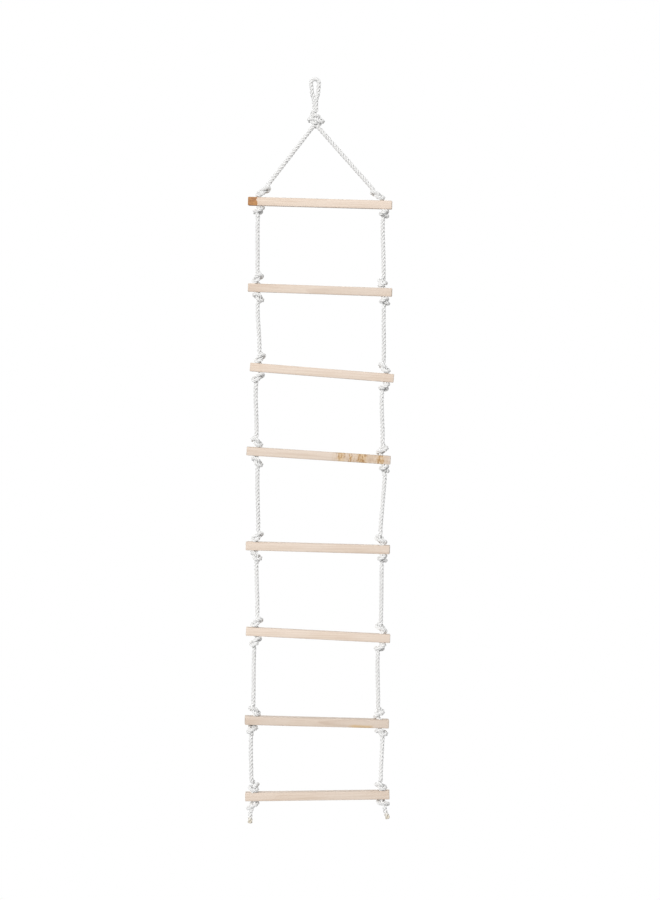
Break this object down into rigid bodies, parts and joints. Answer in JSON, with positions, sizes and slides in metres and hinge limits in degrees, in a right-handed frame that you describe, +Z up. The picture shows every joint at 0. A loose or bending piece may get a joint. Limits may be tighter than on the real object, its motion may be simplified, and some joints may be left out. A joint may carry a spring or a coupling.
{
  "type": "rope ladder",
  "caption": "Hanging rope ladder: square wooden rungs threaded on a doubled rope between stopper knots, under a knotted loop that goes over a hook.",
  "frame": {"origin": "the point where a hook bears, on the inside of the hanging loop's arch", "axes": "+X along the rungs to the right of someone facing the front, +Y from the front to the back, +Z up the ladder"},
  "size_m": [0.4454, 0.0626, 2.1841],
  "materials": {
    "rung_wood": "smooth sanded, unvarnished beech",
    "rope": "white three-strand laid rope, slightly fuzzy"
  },
  "bodies": {
    "loop_arch": {"loop_arch": "rope"},
    "loop_neck": {"loop_neck_left": "rope", "loop_neck_right": "rope"},
    "top_knot": {"top_knot": "rope"},
    "section_1": {"bridle_left": "rope", "bridle_right": "rope", "rung_1": "rung_wood", "knots_left_1": "rope", "knots_right_1": "rope"},
    "section_2": {"run_left_1": "rope", "run_right_1": "rope", "rung_2": "rung_wood", "knots_left_2": "rope", "knots_right_2": "rope"},
    "section_3": {"run_left_2": "rope", "run_right_2": "rope", "rung_3": "rung_wood", "knots_left_3": "rope", "knots_right_3": "rope"},
    "section_4": {"run_left_3": "rope", "run_right_3": "rope", "rung_4": "rung_wood", "knots_left_4": "rope", "knots_right_4": "rope"},
    "section_5": {"run_left_4": "rope", "run_right_4": "rope", "rung_5": "rung_wood", "knots_left_5": "rope", "knots_right_5": "rope"},
    "section_6": {"run_left_5": "rope", "run_right_5": "rope", "rung_6": "rung_wood", "knots_left_6": "rope", "knots_right_6": "rope"},
    "section_7": {"run_left_6": "rope", "run_right_6": "rope", "rung_7": "rung_wood", "knots_left_7": "rope", "knots_right_7": "rope"},
    "section_8": {"run_left_7": "rope", "run_right_7": "rope", "rung_8": "rung_wood", "knots_left_8": "rope", "knots_right_8": "rope"},
    "tail_left": {"tail_left": "rope"},
    "tail_right": {"tail_right": "rope"}
  },
  "joints": [
    {"name": "ladder_twist", "type": "hinge", "parent": "loop_arch", "child": "loop_neck", "pos_m": [0, 0, -0.032], "axis": [0, 0, 1], "range_deg": [-60, 60]},
    {"name": "side_swing", "type": "hinge", "parent": "loop_neck", "child": "top_knot", "pos_m": [0, 0, -0.078], "axis": [0, 1, 0], "range_deg": [-25, 25]},
    {"name": "front_swing", "type": "hinge", "parent": "top_knot", "child": "section_1", "pos_m": [0, 0, -0.13996], "axis": [1, 0, 0], "range_deg": [-40, 40]},
    {"name": "bay_1_fold", "type": "hinge", "parent": "section_1", "child": "section_2", "pos_m": [0.01182, 0.00001, -0.41433], "axis": [-0.9979, 0.0523, 0.0384], "range_deg": [-80, 80]},
    {"name": "bay_2_fold", "type": "hinge", "parent": "section_2", "child": "section_3", "pos_m": [0.01107, 0.00094, -0.66849], "axis": [0.9977, -0.0523, -0.0436], "range_deg": [-80, 80]},
    {"name": "bay_3_fold", "type": "hinge", "parent": "section_3", "child": "section_4", "pos_m": [0.00409, -0.00116, -0.90988], "axis": [-0.996, -0.0174, 0.0872], "range_deg": [-80, 80]},
    {"name": "bay_4_fold", "type": "hinge", "parent": "section_4", "child": "section_5", "pos_m": [0.00881, 0.00012, -1.15375], "axis": [0.9972, 0.0174, -0.0732], "range_deg": [-80, 80]},
    {"name": "bay_5_fold", "type": "hinge", "parent": "section_5", "child": "section_6", "pos_m": [0.00038, 0.00079, -1.4228], "axis": [-0.9971, 0.0697, 0.0297], "range_deg": [-80, 80]},
    {"name": "bay_6_fold", "type": "hinge", "parent": "section_6", "child": "section_7", "pos_m": [-0.01064, -0.00111, -1.67747], "axis": [0.998, 0.0174, -0.061], "range_deg": [-80, 80]},
    {"name": "bay_7_fold", "type": "hinge", "parent": "section_7", "child": "section_8", "pos_m": [-0.01018, 0.0029, -1.93233], "axis": [-0.9966, -0.0697, 0.0436], "range_deg": [-80, 80]},
    {"name": "tail_left_bend", "type": "hinge", "parent": "section_8", "child": "tail_left", "pos_m": [-0.20652, 0.00511, -2.14069], "axis": [1, 0, 0], "range_deg": [-50, 50]},
    {"name": "tail_right_bend", "type": "hinge", "parent": "section_8", "child": "tail_right", "pos_m": [0.18841, -0.00179, -2.13725], "axis": [1, 0, 0], "range_deg": [-50, 50]}
  ]
}
